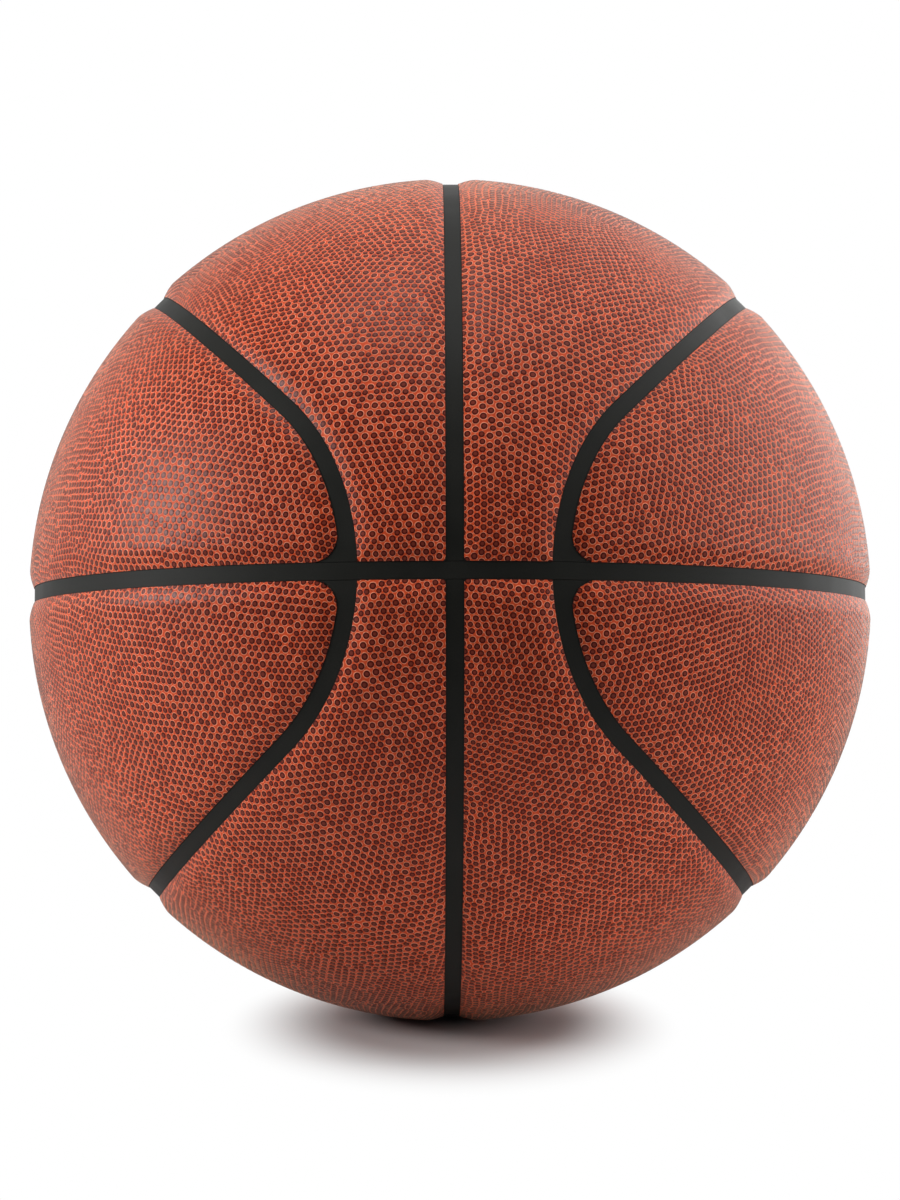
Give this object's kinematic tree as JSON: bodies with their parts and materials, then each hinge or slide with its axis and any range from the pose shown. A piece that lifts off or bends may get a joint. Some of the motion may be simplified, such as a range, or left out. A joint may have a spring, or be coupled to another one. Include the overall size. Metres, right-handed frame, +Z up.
{
  "type": "basketball",
  "caption": "Inflated basketball: a bladder with its valve, thread winding, rubber carcass, black channel strips and pebbled cover panels over sponge backing.",
  "frame": {"origin": "centre of the ball", "axes": "+Z up, with the equator channel in the XY plane and the centre channel in the YZ plane; the front, which the picture shows, faces -Y, and the valve is behind, above the equator"},
  "size_m": [0.2394, 0.2388, 0.2394],
  "materials": {
    "pebbled_cover": "pebbled composite leather, semi-matte",
    "channel_rubber": "smooth moulded rubber, matte",
    "sponge_backing": "sponge rubber",
    "carcass_rubber": "moulded rubber, matte",
    "nylon_thread": "wound nylon thread",
    "butyl_rubber": "smooth butyl rubber",
    "seat_rubber": "moulded rubber, matte",
    "plug_rubber": "moulded rubber, satin"
  },
  "bodies": {
    "root": {"bladder": "butyl_rubber", "valve_seat": "seat_rubber", "valve_plug": "plug_rubber", "thread_winding": "nylon_thread", "carcass": "carcass_rubber", "channel_equator": "channel_rubber", "channel_centre_top": "channel_rubber", "channel_centre_bottom": "channel_rubber", "channel_curve_upper_left": "channel_rubber", "channel_curve_lower_left": "channel_rubber", "channel_curve_upper_right": "channel_rubber", "channel_curve_lower_right": "channel_rubber", "backing_end_upper_left": "sponge_backing", "backing_end_lower_left": "sponge_backing", "backing_end_upper_right": "sponge_backing", "backing_end_lower_right": "sponge_backing", "backing_centre_upper_left": "sponge_backing", "backing_centre_lower_left": "sponge_backing", "backing_centre_upper_right": "sponge_backing", "backing_centre_lower_right": "sponge_backing", "cover_end_upper_left": "pebbled_cover", "cover_end_lower_left": "pebbled_cover", "cover_end_upper_right": "pebbled_cover", "cover_end_lower_right": "pebbled_cover", "cover_centre_upper_left": "pebbled_cover", "cover_centre_lower_left": "pebbled_cover", "cover_centre_upper_right": "pebbled_cover", "cover_centre_lower_right": "pebbled_cover"}
  },
  "joints": []
}
